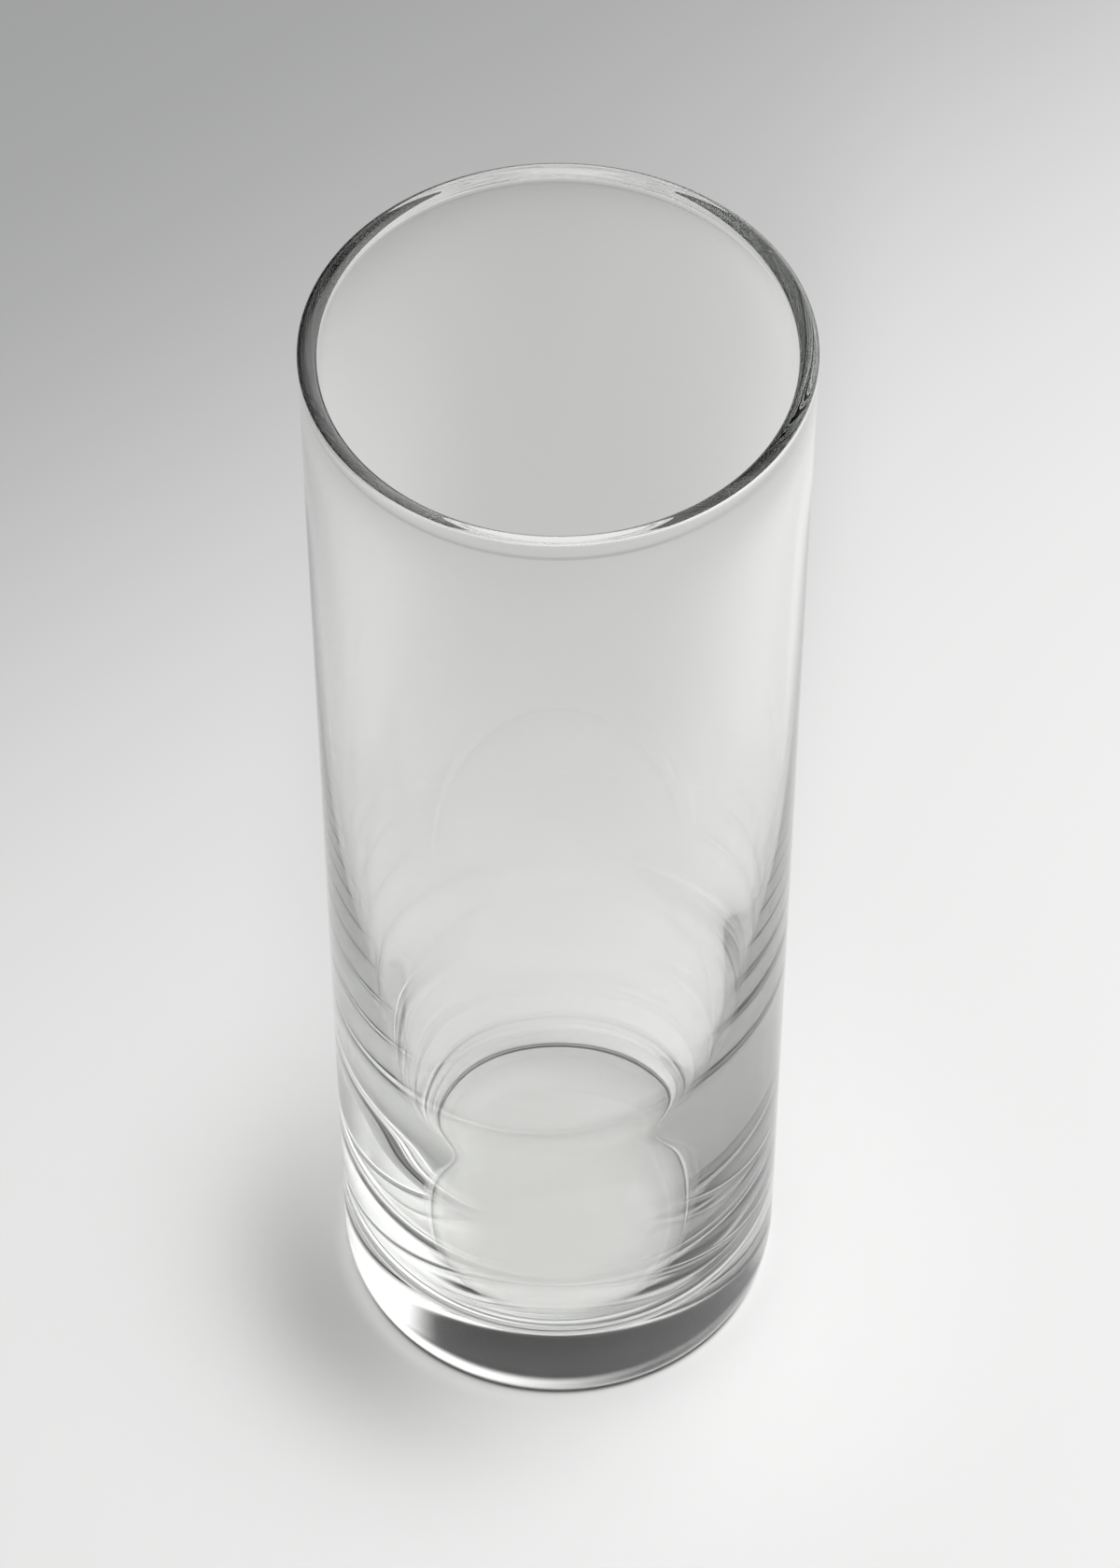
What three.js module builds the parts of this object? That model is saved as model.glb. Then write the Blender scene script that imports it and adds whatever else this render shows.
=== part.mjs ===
// A straight-sided highball tumbler of clear glass: one moulded piece, turned about the vertical axis.
// Millimetres, +Z up, origin on the table under the middle of the base.
import * as THREE from "three";

// Driving dimensions of the outside and the lip
const height = 163;
const rimDiameter = 58.1; // outside of the lip
const baseDiameter = 53.2; // outside of the wall where it would meet the table
const lipThickness = 2.3; // fire-polished bead round the mouth, across its widest place
const lipOverhang = 0.08; // how far the bead stands out from the wall
const lipEdgeRadius = 0.5; // rounding of the bead's outer edge
const lipDrop = 1.1; // how far the bead's top falls from its outer edge to its inner side
const lipDepth = 2.8; // from the top of the bead down to where it has faded into the wall
const beadFullness = 0.9; // share of the fade over which the bead keeps its width
const beadTail = 0.28; // share of the fade in which it runs out along the wall

// Driving dimensions of the wall, which grows thicker under the lip and towards the base
const plainWall = 1.2;
const flareThickening = 0.6; // extra wall just under the lip
const flareFade = 3.8; // depth in which the flare falls to about a third
const swellLevel = 75; // the wall thickens steadily below this level
const swellRate = 0.062; // thickening for each millimetre of depth
const swellSoftness = 20; // length over which the thickening sets in
const settleLevel = 45.5; // a soft step inside the wall, where the glass sank in the mould
const settleStep = 0.7;
const settleLength = 6;
const footingSwell = 1.5; // last thickening, just above the floor
const footingFade = 4.9;

// Driving dimensions of the base
const floorThickness = 7.9; // glass under the drink, at the axis and above the table
const floorDish = 0.1; // how far the floor's edge stands above its middle
const floorCornerRadius = 4;
const heelRadius = 2.7; // rounding between the wall and the foot
const footWidth = 2; // flat ring that the tumbler stands on
const puntDepth = 0.3; // hollow under the base, inside the foot

// Fineness of the turned solid
const stepsRound = 88;
const stepsPerCurve = 4;
const stepsDownWall = 22;

const rimRadius = rimDiameter / 2;
const baseRadius = baseDiameter / 2;
const floorEdge = floorThickness + floorDish;
const wallTop = height - lipDepth;
const wallFoot = floorEdge + floorCornerRadius;
const quarterTurn = Math.PI / 2;

// The outside of the wall is a straight taper.
function outsideRadius(level) {
  return THREE.MathUtils.lerp(baseRadius, rimRadius - lipOverhang, level / height);
}

// Thickness of the wall, measured level from its outside.
function wallThickness(level) {
  const depth = swellLevel - level;
  const swell = (swellRate * (depth + Math.hypot(depth, swellSoftness))) / 2;
  const settle = (settleStep * (1 + Math.tanh((settleLevel - level) / settleLength))) / 2;
  const flare = flareThickening * Math.exp((level - wallTop) / flareFade);
  const footing = footingSwell * Math.exp((floorThickness - level) / footingFade);
  return plainWall + swell + settle + flare + footing;
}

function pointInside(level) {
  return new THREE.Vector2(outsideRadius(level) - wallThickness(level), level);
}

// Runs straight on along the inside of the wall from one level to another.
function pointOnTangent(level, targetLevel) {
  const nudge = floorCornerRadius / stepsDownWall;
  const upper = pointInside(level + nudge);
  const lower = pointInside(level - nudge);
  const share = (targetLevel - lower.y) / (upper.y - lower.y);
  return lower.lerp(upper, share);
}

// Runs straight to a corner of the section and rounds it by an arc that touches both of its legs.
function addRoundedCorner(section, before, corner, after, radius) {
  const back = before.clone().sub(corner).normalize();
  const ahead = after.clone().sub(corner).normalize();
  const halfAngle = back.angleTo(ahead) / 2;
  const setback = radius / Math.tan(halfAngle);
  const centre = back.clone().add(ahead).setLength(radius / Math.sin(halfAngle)).add(corner);
  const startAngle = corner.clone().addScaledVector(back, setback).sub(centre).angle();
  const endAngle = corner.clone().addScaledVector(ahead, setback).sub(centre).angle();
  const turnsRight = back.cross(ahead) > 0;
  section.absarc(centre.x, centre.y, radius, startAngle, endAngle, turnsRight);
}

// Half of the tumbler's section, radius across and level up: from the axis under the base, round the
// outside, over the lip and down the inside, back to the axis on the floor.
function tumblerSection() {
  const underMiddle = new THREE.Vector2(0, puntDepth);
  const footInside = new THREE.Vector2(baseRadius - heelRadius - footWidth, 0);
  const heel = new THREE.Vector2(baseRadius, 0);
  const neck = new THREE.Vector2(outsideRadius(wallTop), wallTop);
  const lipEdge = new THREE.Vector2(rimRadius, height - lipEdgeRadius);
  const lipRidge = rimRadius - lipEdgeRadius;
  const beadWidest = new THREE.Vector2(rimRadius - lipThickness, height - lipDrop);
  const floorMiddle = new THREE.Vector2(0, floorThickness);

  const section = new THREE.Path();
  section.moveTo(underMiddle.x, underMiddle.y);

  // The punt: a shallow dome that runs level both at the axis and at the foot.
  const puntHalfway = footInside.x / 2;
  section.bezierCurveTo(puntHalfway, underMiddle.y, puntHalfway, footInside.y, footInside.x, footInside.y);

  // The foot, the heel and the outside of the wall, which swells softly out into the lip.
  addRoundedCorner(section, footInside, heel, neck, heelRadius);
  section.lineTo(neck.x, neck.y);
  const swellHalfway = (neck.y + lipEdge.y) / 2;
  const neckAim = outsideRadius(swellHalfway);
  section.bezierCurveTo(neckAim, swellHalfway, lipEdge.x, swellHalfway, lipEdge.x, lipEdge.y);

  // The lip: a rounded outer edge, and a top that falls inwards along a quarter of an ellipse.
  section.absarc(lipRidge, lipEdge.y, lipEdgeRadius, 0, quarterTurn, false);
  section.absellipse(lipRidge, beadWidest.y, lipRidge - beadWidest.x, lipDrop, quarterTurn, Math.PI, false);

  // The inner side of the bead keeps its width and then runs out along the wall.
  const fadeLength = beadWidest.y - wallTop;
  const fadeEnd = pointInside(wallTop);
  const fadeAim = pointOnTangent(wallTop, wallTop + beadTail * fadeLength);
  const fullLevel = beadWidest.y - beadFullness * fadeLength;
  section.bezierCurveTo(beadWidest.x, fullLevel, fadeAim.x, fadeAim.y, fadeEnd.x, fadeEnd.y);

  // The inside of the wall, thin at mid-height and heavy at the foot.
  for (let step = 1; step <= stepsDownWall; step += 1) {
    const point = pointInside(THREE.MathUtils.lerp(wallTop, wallFoot, step / stepsDownWall));
    section.lineTo(point.x, point.y);
  }

  // The round corner at the wall's foot and the floor, dished towards the axis.
  const floorCorner = pointOnTangent(wallFoot, floorEdge);
  const floorAim = new THREE.Vector2(0, floorEdge);
  addRoundedCorner(section, pointInside(wallFoot), floorCorner, floorAim, floorCornerRadius);
  const floorHalfway = floorCorner.x / 2;
  section.bezierCurveTo(floorHalfway, floorEdge, floorHalfway, floorMiddle.y, floorMiddle.x, floorMiddle.y);
  return section;
}

// Turns the section about the axis and stands the solid upright.
function makeTumbler() {
  const outline = tumblerSection().getPoints(stepsPerCurve);
  const geometry = new THREE.LatheGeometry(outline, stepsRound);
  geometry.rotateX(quarterTurn);
  const clearGlass = new THREE.MeshStandardMaterial({
    color: 0xdfe5e1,
    roughness: 0.03,
    metalness: 0,
    transparent: true,
    opacity: 0.3,
  });
  const tumbler = new THREE.Mesh(geometry, clearGlass);
  tumbler.name = "tumbler";
  return tumbler;
}

const highballGlass = new THREE.Group();
highballGlass.add(makeTumbler());

export default highballGlass;
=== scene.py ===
"""A highball glass on a pale studio floor: one moulded tumbler of clear glass, seen from above."""
from math import cos, e, pi, radians, sin

import bpy
import numpy as np
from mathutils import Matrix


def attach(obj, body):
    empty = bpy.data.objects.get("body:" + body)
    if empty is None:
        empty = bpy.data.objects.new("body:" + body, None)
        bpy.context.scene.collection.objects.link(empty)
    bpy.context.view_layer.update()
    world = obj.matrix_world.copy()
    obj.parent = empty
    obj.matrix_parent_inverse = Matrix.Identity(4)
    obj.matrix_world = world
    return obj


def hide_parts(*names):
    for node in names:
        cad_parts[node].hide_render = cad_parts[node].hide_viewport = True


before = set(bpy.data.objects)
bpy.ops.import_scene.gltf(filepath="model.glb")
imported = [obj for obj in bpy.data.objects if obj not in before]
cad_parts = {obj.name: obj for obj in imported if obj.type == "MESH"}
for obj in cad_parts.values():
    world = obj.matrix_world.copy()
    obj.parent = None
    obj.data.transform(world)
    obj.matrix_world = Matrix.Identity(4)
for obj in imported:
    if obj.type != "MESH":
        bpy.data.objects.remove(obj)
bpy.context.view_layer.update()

MM = 0.001

# The tumbler's sizes in millimetres
HEIGHT = 163.0
RIM_RADIUS = 29.05
BASE_RADIUS = 26.6  # outside of the wall where it would meet the table
LIP_THICKNESS = 2.3
LIP_OVERHANG = 0.08  # how far the lip stands out from the wall
BEAD_FULLNESS = 0.9  # share of the fade over which the lip's bead keeps its width
BEAD_TAIL = 0.28  # share of the fade in which it runs out along the wall
PLAIN_WALL = 1.2
FLARE_THICKENING = 0.6  # extra wall just under the lip
FLARE_FADE = 3.8
SWELL_LEVEL = 75.0  # the wall thickens steadily below this level
SWELL_RATE = 0.062
SWELL_SOFTNESS = 20.0
FOOTING_SWELL = 1.5  # last thickening, just above the floor
FOOTING_FADE = 4.9
FLOOR_THICKNESS = 7.9
FLOOR_DISH = 0.1  # how far the floor's edge stands above its middle
FLOOR_CORNER_RADIUS = 3.3
HEEL_WIDTH = 2.0
HEEL_HEIGHT = 6.0
FOOT_WIDTH = 0.7  # ring that touches the table
PUNT_DEPTH = 0.3  # hollow under the base, inside the foot
FLOOR_EDGE = FLOOR_THICKNESS + FLOOR_DISH
WALL_FOOT = FLOOR_EDGE + FLOOR_CORNER_RADIUS

# The lip in front and behind, which the fire polished unevenly
FRONT_LIP = dict(lip_top=HEIGHT, edge_radius=0.2, lip_drop=1.28, outer_depth=3.4, inner_depth=3.8)
BACK_LIP = dict(lip_top=162.7, edge_radius=0.85, lip_drop=0.87, outer_depth=2.4, inner_depth=1.75)

# The soft step inside the wall, where the glass sank in the mould
SETTLE_LEVEL = 44.0
SETTLE_LEAN = 6.8  # how far its high side is above that level, and its low side below it
SETTLE_TURN = radians(-36)  # azimuth of the high side
SETTLE_LENGTH = 6.0
SETTLE_STEP = 0.8
SETTLE_UNEVENNESS = 0.1  # share by which it is thicker on the right and left

# Fineness of the turned surface
STEPS_ROUND = 256
STEPS_WALL = 150
STEPS_OUTSIDE = 37
STEPS_CURVE = 24
SLOPE_REACH = 0.001  # millimetres above and below, between which the wall's slope is taken

# The camera, which looks down on the glass from in front
CAMERA_ELEVATION = radians(50.51)
CAMERA_DISTANCE = 1021.7 * MM
CAMERA_AIM_LEVEL = 87.08 * MM
CAMERA_SIDESTEP = 0.208 * MM
CAMERA_LENS = 199.54

# The glass's roughness where handling has dulled it most
HANDLED_ROUGHNESS = 0.012

# The paper, in metres, with the painted shade in which it falls from pale round the glass to grey towards
# the back and the left
PAPER_HALF_WIDTH = 3.0
PAPER_PALE = (0.944, 0.944, 0.94, 1.0)
PAPER_GREY = (0.34, 0.347, 0.342, 1.0)
PAPER_FALL_DISTANCE = 0.156  # middle of the fall from pale to grey, behind the glass
PAPER_FALL_SLANT = 0.72  # how much further back it is for each metre to the right
PAPER_FALL_LENGTH = 0.0353
PAPER_SIDE_REACH = 0.2  # to each side, within which the paper darkens from right to left
PAPER_LEFT_SHARE = 0.664  # of the brightness, at the left end of that reach

# The soft shade painted on the paper behind the glass, in metres
SHADE_DEPTH = 0.53
SHADE_SIDE = 0.0034
SHADE_SLANT = 0.13  # how much further to the right it is for each metre back
SHADE_DISTANCE = 0.1096
SHADE_WIDTH = 0.0282
SHADE_LENGTH = 0.0737

# The painted part of the shadow by the base, away from the window, in metres and degrees
FOOT_SHADOW_DEPTH = 0.32
FOOT_SHADOW_RADIUS = 0.031
FOOT_SHADOW_WIDTH = 0.010
FOOT_SHADOW_AZIMUTH = 208
FOOT_SHADOW_FOCUS = 3.4  # how closely it keeps to that azimuth
FOOT_SHADOW_START = BASE_RADIUS * MM - 0.001
FOOT_SHADOW_FULL = BASE_RADIUS * MM + 0.002

# The thin dark line of painted contact shadow under the heel, in metres
CONTACT_DEPTH = 0.85
CONTACT_RADIUS = 0.0253
CONTACT_WIDTH = 0.0004

# The ring in which the glass's own shadow fades, in metres
SHADOW_INNER = 0.034
SHADOW_OUTER = 0.070

# The room's light, with angles in degrees
CEILING_START = 35
CEILING_FULL = 84
CEILING_LEVEL = 1.4
WINDOW_AZIMUTH = 23
WINDOW_ELEVATION = 5
WINDOW_CORE = 34
WINDOW_EDGE = 90
WINDOW_LEVEL = 2.45
CURTAIN_AZIMUTH = 110
CURTAIN_REACH = 54
CURTAIN_SIDE_SOFTNESS = 20
CURTAIN_FOOT = 48
CURTAIN_FOOT_SOFTNESS = 5
CURTAIN_HEAD = 61.5
CURTAIN_HEAD_SOFTNESS = 4
CURTAIN_LEVEL = 0.05
LIGHT_BOUNCES = 96


class Socket:
    """An output socket of a shader. Arithmetic on it adds Math nodes to its tree."""

    def __init__(self, tree, link):
        self.tree = tree
        self.link = link

    @staticmethod
    def node(tree, kind, settings=None, inputs=None, output=0):
        """Adds a node: its settings come first, and each input then takes its value or its link."""
        added = tree.nodes.new(kind)
        for name, value in (settings or {}).items():
            setattr(added, name, value)
        for name, value in (inputs or {}).items():
            if isinstance(value, Socket):
                tree.links.new(value.link, added.inputs[name])
            else:
                added.inputs[name].default_value = value
        return Socket(tree, added.outputs[output]) if added.outputs else None

    def math(self, operation, first, second):
        return Socket.node(self.tree, "ShaderNodeMath", {"operation": operation}, {0: first, 1: second})

    def larger(self, other):
        return self.math("MAXIMUM", self, other)

    def __add__(self, other):
        return self.math("ADD", self, other)

    def __radd__(self, other):
        return self.math("ADD", other, self)

    def __sub__(self, other):
        return self.math("SUBTRACT", self, other)

    def __rsub__(self, other):
        return self.math("SUBTRACT", other, self)

    def __mul__(self, other):
        return self.math("MULTIPLY", self, other)

    def __rmul__(self, other):
        return self.math("MULTIPLY", other, self)

    def __truediv__(self, other):
        return self.math("DIVIDE", self, other)

    def __rtruediv__(self, other):
        return self.math("DIVIDE", other, self)

    def __rpow__(self, other):
        return self.math("POWER", other, self)


def empty_tree(owner):
    """The node tree of a material or a world, with nothing in it."""
    owner.use_nodes = True
    owner.node_tree.nodes.clear()
    return owner.node_tree


def mixed_colour(tree, share, first, second):
    """The first colour where the share is 0 and the second where it is 1. The node's colours are its inputs
    6 and 7 and its output 2."""
    inputs = {"Factor": share, 6: first, 7: second}
    return Socket.node(tree, "ShaderNodeMix", {"data_type": "RGBA"}, inputs, output=2)


def smooth_share(tree, value, low, high):
    """0 up to the low value, 1 from the high one on, and a smooth step between them."""
    inputs = {"Value": value, "From Min": low, "From Max": high}
    return Socket.node(tree, "ShaderNodeMapRange", {"interpolation_type": "SMOOTHSTEP"}, inputs)


def share_above(tree, upward, elevation, softness):
    """0 under an elevation and 1 over it, with a smooth step as wide as the softness on both sides."""
    low = sin(radians(elevation - softness))
    high = sin(radians(elevation + softness))
    return smooth_share(tree, upward, low, high)


def cosine_to(tree, direction, azimuth, elevation):
    """The cosine of the angle between the direction and that of an azimuth and an elevation."""
    level_reach = cos(radians(elevation))
    aim = (level_reach * cos(radians(azimuth)), level_reach * sin(radians(azimuth)), sin(radians(elevation)))
    return Socket.node(tree, "ShaderNodeVectorMath", {"operation": "DOT_PRODUCT"}, {
        0: direction, 1: aim}, output="Value")


def outside_radius(level):
    """The wall's outside: a straight taper from the base up to just inside the lip's overhang."""
    return BASE_RADIUS + (RIM_RADIUS - LIP_OVERHANG - BASE_RADIUS) * level / HEIGHT


def wall_thickness(level, wall_top):
    """The wall, measured level from its outside: a plain wall, plus a steady thickening below the swell
    level that sets in along a hyperbola, plus two exponentials, under the lip and above the floor."""
    depth = SWELL_LEVEL - level
    swell = SWELL_RATE * (depth + np.hypot(depth, SWELL_SOFTNESS)) / 2
    flare = FLARE_THICKENING * np.exp((level - wall_top) / FLARE_FADE)
    footing = FOOTING_SWELL * np.exp((FLOOR_THICKNESS - level) / FOOTING_FADE)
    return PLAIN_WALL + swell + flare + footing


def settle_wave(level, azimuth):
    """Extra thickness under the settle level: a step times half of 1 plus the hyperbolic tangent of the
    depth. The level leans with the cosine of the azimuth from its high side, and the step's height follows
    the cosine of twice the azimuth."""
    leaning_level = SETTLE_LEVEL + SETTLE_LEAN * np.cos(azimuth - SETTLE_TURN)
    step = SETTLE_STEP * (1 + SETTLE_UNEVENNESS * np.cos(2 * azimuth))
    return step * (1 + np.tanh((leaning_level - level) / SETTLE_LENGTH)) / 2


def inside_point(level, wall_top):
    """The wall's inside, without the settle wave: the outside's radius less the thickness, and the level."""
    return np.array([outside_radius(level) - wall_thickness(level, wall_top), level])


def point_on_tangent(level, target_level, wall_top):
    """The point at the target level on the straight line that touches the inside of the wall."""
    upper = inside_point(level + SLOPE_REACH, wall_top)
    lower = inside_point(level - SLOPE_REACH, wall_top)
    return lower + (upper - lower) * (target_level - lower[1]) / (upper[1] - lower[1])


def rounded_corner(before, corner, after, radius):
    """An arc that touches both legs of a corner. Its centre is on the corner's bisector, at the radius over
    the sine of half the corner's angle."""
    back = (before - corner) / np.linalg.norm(before - corner)
    ahead = (after - corner) / np.linalg.norm(after - corner)
    half_angle = np.arccos(back @ ahead) / 2
    centre = corner + (back + ahead) / np.linalg.norm(back + ahead) * radius / np.sin(half_angle)
    first = corner + back * radius / np.tan(half_angle) - centre
    last = corner + ahead * radius / np.tan(half_angle) - centre
    turn = np.arctan2(first[0] * last[1] - first[1] * last[0], first @ last)
    angle = np.arctan2(first[1], first[0]) + turn * np.linspace(0, 1, STEPS_CURVE)
    return centre + radius * np.stack([np.cos(angle), np.sin(angle)], axis=1)


def soft_curve(start, start_aim, end_aim, end):
    """A cubic Bezier curve: its four points weighted by the binomial terms of t and 1 - t."""
    t = np.linspace(0, 1, STEPS_CURVE)[:, None]
    near = (1 - t) ** 3 * start + 3 * (1 - t) ** 2 * t * start_aim
    far = 3 * (1 - t) * t ** 2 * end_aim + t ** 3 * end
    return near + far


def quarter_ellipse(centre, width, height, first_angle):
    """A quarter of an ellipse, anticlockwise from the first angle: the cosine times the width across and the
    sine times the height up."""
    angle = first_angle + pi / 2 * np.linspace(0, 1, STEPS_CURVE)
    return centre + np.stack([width * np.cos(angle), height * np.sin(angle)], axis=1)


def level_curve(start, end):
    """A Bezier curve that runs level at both of its ends."""
    halfway = (start[0] + end[0]) / 2
    return soft_curve(start, np.array([halfway, start[1]]), np.array([halfway, end[1]]), end)


def tumbler_section(lip_top, edge_radius, lip_drop, outer_depth, inner_depth):
    """Half of the section, as rows of radius and level: the punt, the heel, the straight outside, its soft
    swell into the lip, the lip's outer edge, its top that falls inwards, the fade of its bead, the inside of
    the wall, the round corner and the floor. Also each row's share of the settle wave: none outside and on
    the lip, all of it on the wall, and in proportion to the radius on the floor. The lip is given by the
    level of its top, the radius of its outer edge, the drop of its top to the inner side, and its depth down
    to the plain wall outside and inside."""
    heel_centre = np.array([outside_radius(HEEL_HEIGHT) - HEEL_WIDTH, HEEL_HEIGHT])
    foot_inside = np.array([heel_centre[0] - FOOT_WIDTH, 0.0])
    ridge = RIM_RADIUS - edge_radius
    edge_centre = np.array([ridge, lip_top - edge_radius])
    drop_centre = np.array([ridge, lip_top - lip_drop])
    neck = np.array([outside_radius(lip_top - outer_depth), lip_top - outer_depth])
    wall_top = lip_top - inner_depth
    floor_corner = point_on_tangent(WALL_FOOT, FLOOR_EDGE, wall_top)

    punt = level_curve(np.array([0.0, PUNT_DEPTH]), foot_inside)
    heel_arc = quarter_ellipse(heel_centre, HEEL_WIDTH, HEEL_HEIGHT, -pi / 2)
    edge_arc = quarter_ellipse(edge_centre, edge_radius, edge_radius, 0)
    drop_arc = quarter_ellipse(drop_centre, LIP_THICKNESS - edge_radius, lip_drop, pi / 2)
    outside = np.linspace(heel_arc[-1], neck, STEPS_OUTSIDE)[1:-1]
    halfway = (neck[1] + edge_arc[0, 1]) / 2
    neck_aim = np.array([outside_radius(halfway), halfway])
    overhang = soft_curve(neck, neck_aim, np.array([RIM_RADIUS, halfway]), edge_arc[0])
    fade_start = drop_arc[-1]
    fade_length = fade_start[1] - wall_top
    fade_aim = fade_start - np.array([0, BEAD_FULLNESS * fade_length])
    tail_aim = point_on_tangent(wall_top, wall_top + BEAD_TAIL * fade_length, wall_top)
    fade = soft_curve(fade_start, fade_aim, tail_aim, inside_point(wall_top, wall_top))
    wall = inside_point(np.linspace(wall_top, WALL_FOOT, STEPS_WALL), wall_top).T
    corner_arc = rounded_corner(wall[-1], floor_corner, np.array([0.0, FLOOR_EDGE]), FLOOR_CORNER_RADIUS)
    floor = level_curve(corner_arc[-1], np.array([0.0, FLOOR_THICKNESS]))

    plain = np.concatenate([punt, heel_arc, outside, overhang[:-1], edge_arc, drop_arc[1:]])
    waved = np.concatenate([fade[1:], wall[1:-1], corner_arc, floor[1:]])
    share = np.minimum(1, waved[:, 0] / wall[-1, 0])
    return np.concatenate([plain, waved]), np.concatenate([np.zeros(len(plain)), share])


def tumbler_mesh():
    """The section carried round the axis, blended from the one in front to the one behind by half of 1 plus
    the azimuth's sine. Each row becomes a ring whose radius is the section's, less the row's share of the
    settle wave at that azimuth. A fan of triangles closes each end at the axis."""
    front, share = tumbler_section(**FRONT_LIP)
    back, _ = tumbler_section(**BACK_LIP)
    azimuth = np.linspace(0, 2 * pi, STEPS_ROUND, endpoint=False)[:, None]
    backness = (1 + np.sin(azimuth)) / 2
    blend = front * (1 - backness[:, :, None]) + back * backness[:, :, None]
    level = blend[:, 1:-1, 1]
    radius = blend[:, 1:-1, 0] - share[1:-1] * settle_wave(level, azimuth)
    rings = np.stack([radius * np.cos(azimuth), radius * np.sin(azimuth), level], axis=2)
    ends = np.array([[0, 0, PUNT_DEPTH], [0, 0, FLOOR_THICKNESS]])
    points = np.concatenate([rings.reshape(-1, 3), ends]) * MM

    number = np.arange(level.size).reshape(level.shape)
    following = np.roll(number, -1, axis=0)
    quads = np.stack([number[:, :-1], following[:, :-1], following[:, 1:], number[:, 1:]], axis=2)
    under = np.stack([np.full(STEPS_ROUND, number.size), following[:, 0], number[:, 0]], axis=1)
    above = np.stack([number[:, -1], following[:, -1], np.full(STEPS_ROUND, number.size + 1)], axis=1)
    mesh = bpy.data.meshes.new("tumbler_glass")
    mesh.from_pydata(points.tolist(), [], quads.reshape(-1, 4).tolist() + under.tolist() + above.tolist())
    mesh.shade_smooth()
    return mesh


def clear_glass():
    """Soda-lime glass: sharp refraction, a grey-green absorption that shows in thick places, and patches
    that are a little less bright from handling."""
    material = bpy.data.materials.new("clear_glass")
    tree = empty_tree(material)
    place = Socket.node(tree, "ShaderNodeTexCoord", output="Object")
    patches = Socket.node(tree, "ShaderNodeTexNoise", inputs={"Vector": place, "Scale": 60.0, "Detail": 3.0})
    surface = Socket.node(tree, "ShaderNodeBsdfPrincipled", inputs={
        "Base Color": (1.0, 1.0, 0.994, 1.0),
        "Roughness": HANDLED_ROUGHNESS * patches,
        "IOR": 1.52,
        "Transmission Weight": 1.0,
    })
    tint = Socket.node(tree, "ShaderNodeVolumeAbsorption", inputs={
        "Color": (0.165, 0.185, 0.16, 1.0),
        "Density": 8.0,
    })
    Socket.node(tree, "ShaderNodeOutputMaterial", inputs={"Surface": surface, "Volume": tint})
    return material


def make_tumbler():
    mesh = tumbler_mesh()
    mesh.materials.append(clear_glass())
    tumbler = bpy.data.objects.new("tumbler_glass", mesh)
    bpy.context.collection.objects.link(tumbler)
    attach(tumbler, "root")
    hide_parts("tumbler")


def paper_with_painted_shade(tree, place):
    """The paper's colour with painted shade: pale round the glass and greyer behind it, sooner on the left,
    where the painted shade stands in for light falling off. Its brightness falls evenly from right to left,
    and along a logistic curve of the distance behind a slanting line. The painted shade behind the glass
    takes off a share that fades as e to minus the sum of the fourth power of the way sideways and the square
    of the way along."""
    across = Socket.node(tree, "ShaderNodeSeparateXYZ", inputs={"Vector": place}, output="X")
    along = Socket.node(tree, "ShaderNodeSeparateXYZ", inputs={"Vector": place}, output="Y")
    from_right = Socket.node(tree, "ShaderNodeMapRange", inputs={
        "Value": across,
        "From Min": -PAPER_SIDE_REACH,
        "From Max": PAPER_SIDE_REACH,
        "To Min": PAPER_LEFT_SHARE,
        "To Max": 1.0,
    })
    # painted shade: the paper falls from pale to grey towards the back and from right to left
    beyond = (along - PAPER_FALL_SLANT * across - PAPER_FALL_DISTANCE) / PAPER_FALL_LENGTH
    brightness = from_right / (1 + e ** beyond)

    # painted shade on the paper behind the glass
    behind = along - SHADE_DISTANCE
    sideways = (across - SHADE_SIDE - SHADE_SLANT * behind) / SHADE_WIDTH
    squared = sideways * sideways
    backwards = behind / SHADE_LENGTH
    shade = SHADE_DEPTH * e ** (0 - squared * squared - backwards * backwards)
    return mixed_colour(tree, brightness * (1 - shade), PAPER_GREY, PAPER_PALE)


def painted_shadow(tree, place, distance):
    """How far the paper is painted black by the base, from 0 to 1: the larger of two bell curves of the
    distance from a ring. The wide one begins at the base's edge, and with the turn away from its azimuth it
    fades as e to a multiple of the turn's cosine less 1. The narrow one is the line under the heel."""
    heading = Socket.node(tree, "ShaderNodeVectorMath", {"operation": "NORMALIZE"}, {0: place})
    outward = (distance - FOOT_SHADOW_RADIUS) / FOOT_SHADOW_WIDTH
    turned = FOOT_SHADOW_FOCUS * (1 - cosine_to(tree, heading, FOOT_SHADOW_AZIMUTH, 0))
    outside = smooth_share(tree, distance, FOOT_SHADOW_START, FOOT_SHADOW_FULL)
    foot_shadow = FOOT_SHADOW_DEPTH * outside * e ** (0 - outward * outward - turned)
    # painted contact shadow: a thin dark line under the heel
    from_contact = (distance - CONTACT_RADIUS) / CONTACT_WIDTH
    contact_shadow = CONTACT_DEPTH * e ** (0 - from_contact * from_contact)
    return foot_shadow.larger(contact_shadow)


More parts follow.
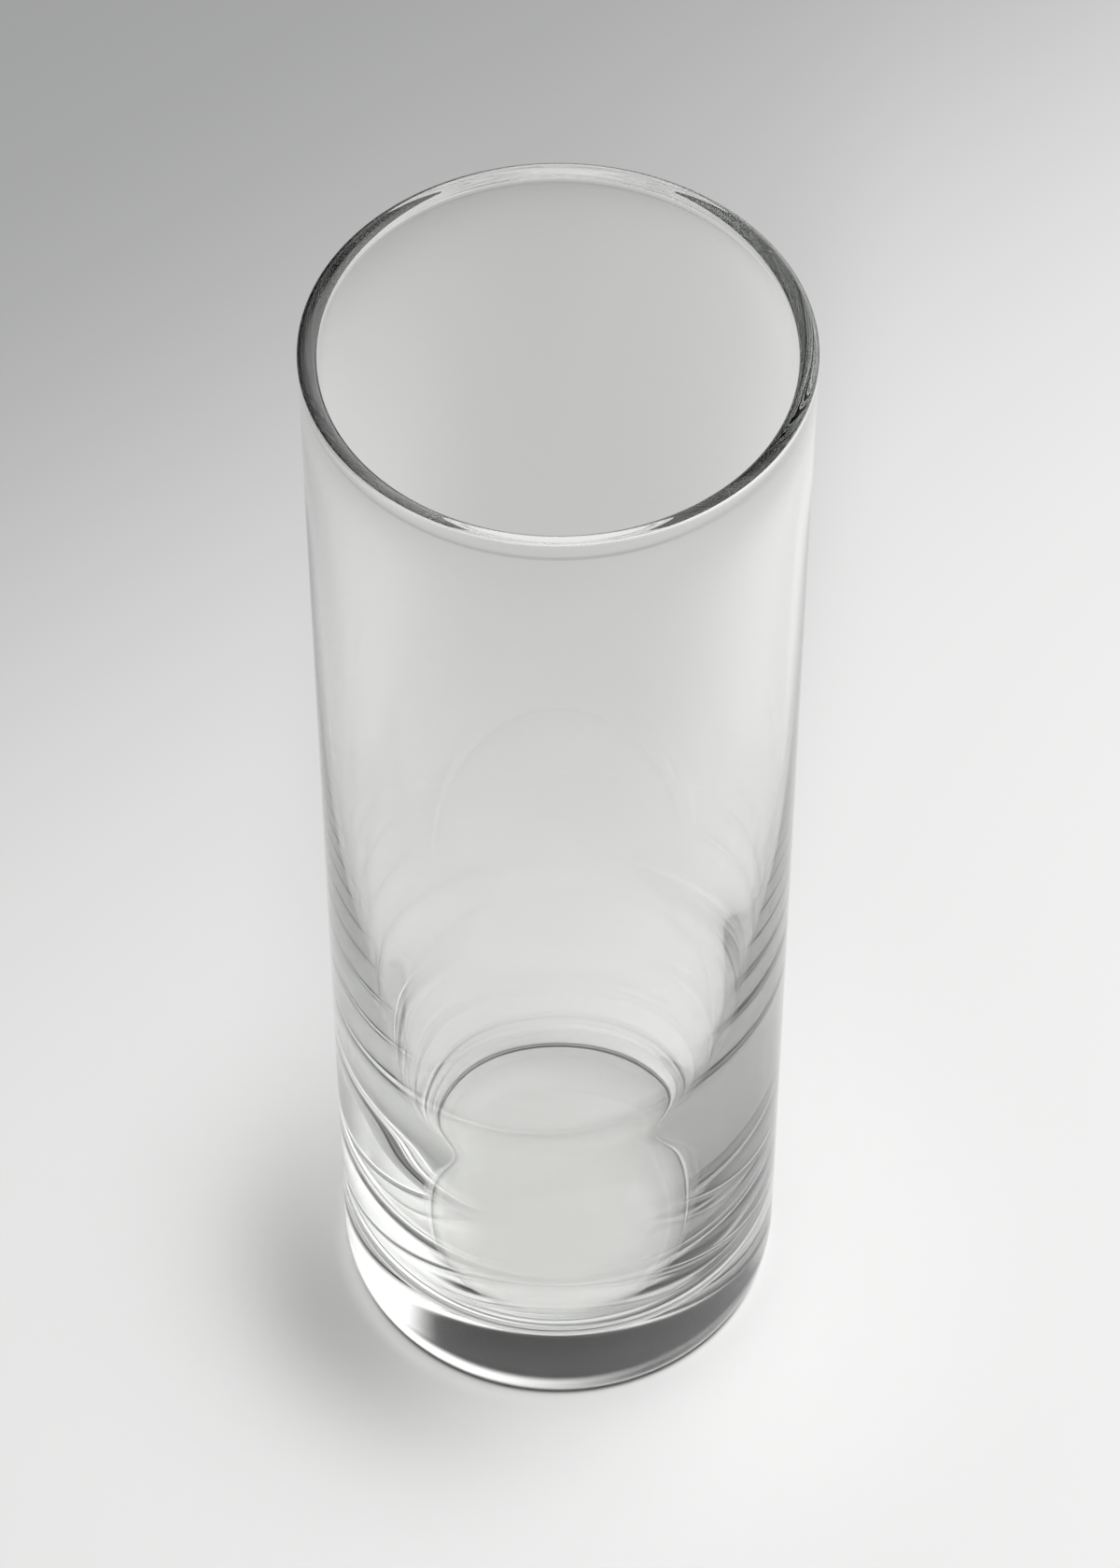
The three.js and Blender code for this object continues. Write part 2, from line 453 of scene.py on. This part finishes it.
def studio_paper():
    """Matt paper. Away from the glass it glows by itself for the eye, in reflections and through the glass,
    and close by it takes the glass's shadow."""
    material = bpy.data.materials.new("studio_paper")
    tree = empty_tree(material)
    place = Socket.node(tree, "ShaderNodeTexCoord", output="Object")
    distance = Socket.node(tree, "ShaderNodeVectorMath", {"operation": "LENGTH"}, {0: place}, output="Value")
    black = (0.0, 0.0, 0.0, 1.0)
    darkness = painted_shadow(tree, place, distance)
    colour = mixed_colour(tree, darkness, paper_with_painted_shade(tree, place), black)

    camera_ray = Socket.node(tree, "ShaderNodeLightPath", output="Is Camera Ray")
    glossy_ray = Socket.node(tree, "ShaderNodeLightPath", output="Is Glossy Ray")
    glass_ray = Socket.node(tree, "ShaderNodeLightPath", output="Is Transmission Ray")
    seen = camera_ray.larger(glossy_ray).larger(glass_ray)
    away = smooth_share(tree, distance, SHADOW_INNER, SHADOW_OUTER)
    matt = Socket.node(tree, "ShaderNodeBsdfDiffuse", inputs={"Color": colour})
    glow = Socket.node(tree, "ShaderNodeEmission", inputs={"Color": colour})
    surface = Socket.node(tree, "ShaderNodeMixShader", inputs={"Fac": away * seen, 1: matt, 2: glow})
    Socket.node(tree, "ShaderNodeOutputMaterial", inputs={"Surface": surface})
    return material


def make_floor():
    """A flat square of paper under the glass."""
    half = PAPER_HALF_WIDTH
    corners = [(-half, -half, 0), (half, -half, 0), (half, half, 0), (-half, half, 0)]
    mesh = bpy.data.meshes.new("studio_floor")
    mesh.from_pydata(corners, [], [(0, 1, 2, 3)])
    mesh.materials.append(studio_paper())
    floor = bpy.data.objects.new("studio_floor", mesh)
    bpy.context.collection.objects.link(floor)


def make_room():
    """The studio round the glass: a ceiling that grows paler upwards, a large soft window on the right, and
    a dark curtain behind, between two elevations and within a reach of its azimuth."""
    room = bpy.data.worlds.new("studio_room")
    tree = empty_tree(room)
    direction = Socket.node(tree, "ShaderNodeTexCoord", output="Generated")
    upward = Socket.node(tree, "ShaderNodeSeparateXYZ", inputs={"Vector": direction}, output="Z")
    flat = Socket.node(tree, "ShaderNodeVectorMath", {"operation": "MULTIPLY"}, {0: direction, 1: (1, 1, 0)})
    heading = Socket.node(tree, "ShaderNodeVectorMath", {"operation": "NORMALIZE"}, {0: flat})

    ceiling = smooth_share(tree, upward, sin(radians(CEILING_START)), sin(radians(CEILING_FULL)))
    level = CEILING_LEVEL * ceiling
    to_window = cosine_to(tree, direction, WINDOW_AZIMUTH, WINDOW_ELEVATION)
    window = smooth_share(tree, to_window, cos(radians(WINDOW_EDGE)), cos(radians(WINDOW_CORE)))
    level = level + (WINDOW_LEVEL - level) * window
    to_curtain = cosine_to(tree, heading, CURTAIN_AZIMUTH, 0)
    side_start = cos(radians(CURTAIN_REACH + CURTAIN_SIDE_SOFTNESS))
    across = smooth_share(tree, to_curtain, side_start, cos(radians(CURTAIN_REACH)))
    above_foot = share_above(tree, upward, CURTAIN_FOOT, CURTAIN_FOOT_SOFTNESS)
    above_head = share_above(tree, upward, CURTAIN_HEAD, CURTAIN_HEAD_SOFTNESS)
    level = level + (CURTAIN_LEVEL - level) * (across * above_foot * (1 - above_head))
    white = (1.0, 1.0, 1.0, 1.0)
    background = Socket.node(tree, "ShaderNodeBackground", inputs={"Color": white, "Strength": level})
    Socket.node(tree, "ShaderNodeOutputWorld", inputs={"Surface": background})
    bpy.context.scene.world = room


def make_camera():
    """A camera in front of the glass that looks down at its axis, at the aim level."""
    camera = bpy.data.cameras.new("camera")
    camera.lens = CAMERA_LENS
    eye = bpy.data.objects.new("camera", camera)
    back = CAMERA_DISTANCE * cos(CAMERA_ELEVATION)
    eye.location = (CAMERA_SIDESTEP, -back, CAMERA_AIM_LEVEL + CAMERA_DISTANCE * sin(CAMERA_ELEVATION))
    eye.rotation_euler = (pi / 2 - CAMERA_ELEVATION, 0, 0)
    bpy.context.collection.objects.link(eye)
    bpy.context.scene.camera = eye


def set_up_scene():
    """Plain view settings, and enough bounces for light that is caught in the thick base."""
    scene = bpy.context.scene
    scene.view_settings.view_transform = "Standard"
    scene.cycles.max_bounces = LIGHT_BOUNCES
    scene.cycles.transmission_bounces = LIGHT_BOUNCES
    scene.cycles.glossy_bounces = LIGHT_BOUNCES
    scene.cycles.blur_glossy = 0.0


make_tumbler()
make_floor()
make_room()
make_camera()
set_up_scene()
